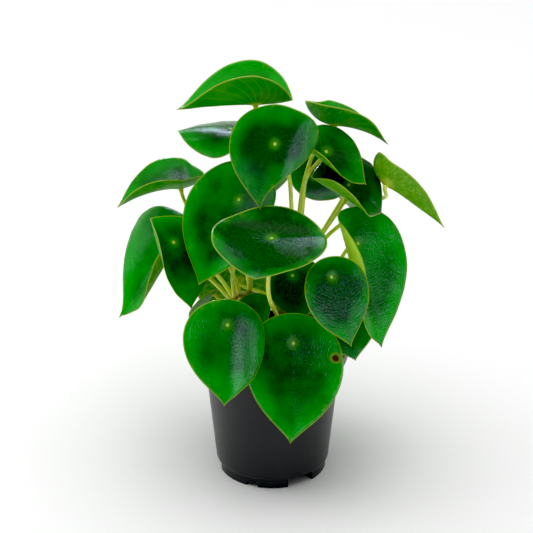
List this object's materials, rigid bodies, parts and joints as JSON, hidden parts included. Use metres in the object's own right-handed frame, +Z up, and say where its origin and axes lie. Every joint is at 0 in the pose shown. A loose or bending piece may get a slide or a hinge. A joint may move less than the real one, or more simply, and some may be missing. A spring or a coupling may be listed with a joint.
{
  "type": "potted_peperomia",
  "caption": "Bushy raindrop peperomia with glossy dark green pointed round leaves on yellow-green petioles, in a small black plastic nursery pot.",
  "frame": {"origin": "on the pot's axis, in the plane its feet stand on", "axes": "+Z up out of the pot, front towards -Y, +X to the right of the front"},
  "size_m": [0.2354, 0.2024, 0.2988],
  "materials": {
    "pot_plastic": "satin black moulded polypropylene, fine machine texture",
    "potting_mix": "loose moist peat with bark and perlite",
    "stem": "fleshy yellow-green stem, brownish at the nodes",
    "petiole": "fleshy translucent yellow-green leaf stalk",
    "leaf_blade": "waxy dark green upper face, matte paler underside, thin yellow-green margin"
  },
  "bodies": {
    "root": {"nursery_pot": "pot_plastic", "soil": "potting_mix", "stem_left": "stem", "stem_front": "stem", "stem_back": "stem", "blade_01": "leaf_blade", "petiole_01": "petiole", "blade_02": "leaf_blade", "petiole_02": "petiole", "blade_03": "leaf_blade", "petiole_03": "petiole", "blade_04": "leaf_blade", "petiole_04": "petiole", "blade_05": "leaf_blade", "petiole_05": "petiole", "blade_06": "leaf_blade", "petiole_06": "petiole", "blade_07": "leaf_blade", "petiole_07": "petiole", "blade_08": "leaf_blade", "petiole_08": "petiole", "blade_09": "leaf_blade", "petiole_09": "petiole", "blade_10": "leaf_blade", "petiole_10": "petiole", "blade_11": "leaf_blade", "petiole_11": "petiole", "blade_12": "leaf_blade", "petiole_12": "petiole", "blade_13": "leaf_blade", "petiole_13": "petiole", "blade_14": "leaf_blade", "petiole_14": "petiole", "blade_15": "leaf_blade", "petiole_15": "petiole", "blade_16": "leaf_blade", "petiole_16": "petiole", "blade_17": "leaf_blade", "petiole_17": "petiole", "blade_18": "leaf_blade", "petiole_18": "petiole", "blade_19": "leaf_blade", "petiole_19": "petiole", "blade_20": "leaf_blade", "petiole_20": "petiole", "blade_21": "leaf_blade", "petiole_21": "petiole", "blade_22": "leaf_blade", "petiole_22": "petiole", "blade_23": "leaf_blade", "petiole_23": "petiole", "blade_24": "leaf_blade", "petiole_24": "petiole", "blade_25": "leaf_blade", "petiole_25": "petiole", "blade_26": "leaf_blade", "petiole_26": "petiole", "blade_27": "leaf_blade", "petiole_27": "petiole"}
  },
  "joints": []
}
